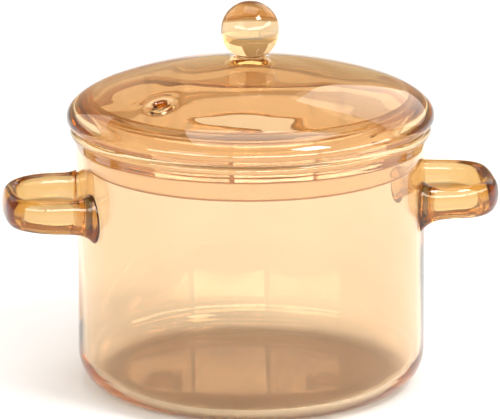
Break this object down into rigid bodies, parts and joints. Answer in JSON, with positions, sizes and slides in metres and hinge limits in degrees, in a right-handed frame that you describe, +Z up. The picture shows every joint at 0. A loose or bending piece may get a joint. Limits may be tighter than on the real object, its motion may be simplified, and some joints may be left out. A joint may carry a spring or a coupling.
{
  "type": "lidded glass cooking pot",
  "caption": "Round glass cooking pot with loop handles fused to its sides and a lift-off domed glass lid with a ball knob, a locating ring and a steam vent.",
  "frame": {"origin": "middle of the flat underside of the pot's base", "axes": "+Z up along the pot's axis, +X through the two handles, +Y to the back; in millimetres in the source, metres in the row"},
  "size_m": [0.2288, 0.1682, 0.1786],
  "materials": {
    "pot_glass": "clear amber tint, fire polished",
    "handle_glass": "clear amber tint, solid, fire polished",
    "lid_glass": "clear amber tint, fire polished",
    "knob_glass": "clear amber tint, solid, fire polished"
  },
  "bodies": {
    "pot": {"pot_body": "pot_glass", "left_handle": "handle_glass", "right_handle": "handle_glass"},
    "lid": {"lid_dome": "lid_glass", "lid_locating_ring": "lid_glass", "lid_knob": "knob_glass"}
  },
  "joints": [
    {"name": "lid_lift", "type": "slide", "parent": "pot", "child": "lid", "axis": [0, 0, 1], "range_m": [0, 0.2]}
  ]
}
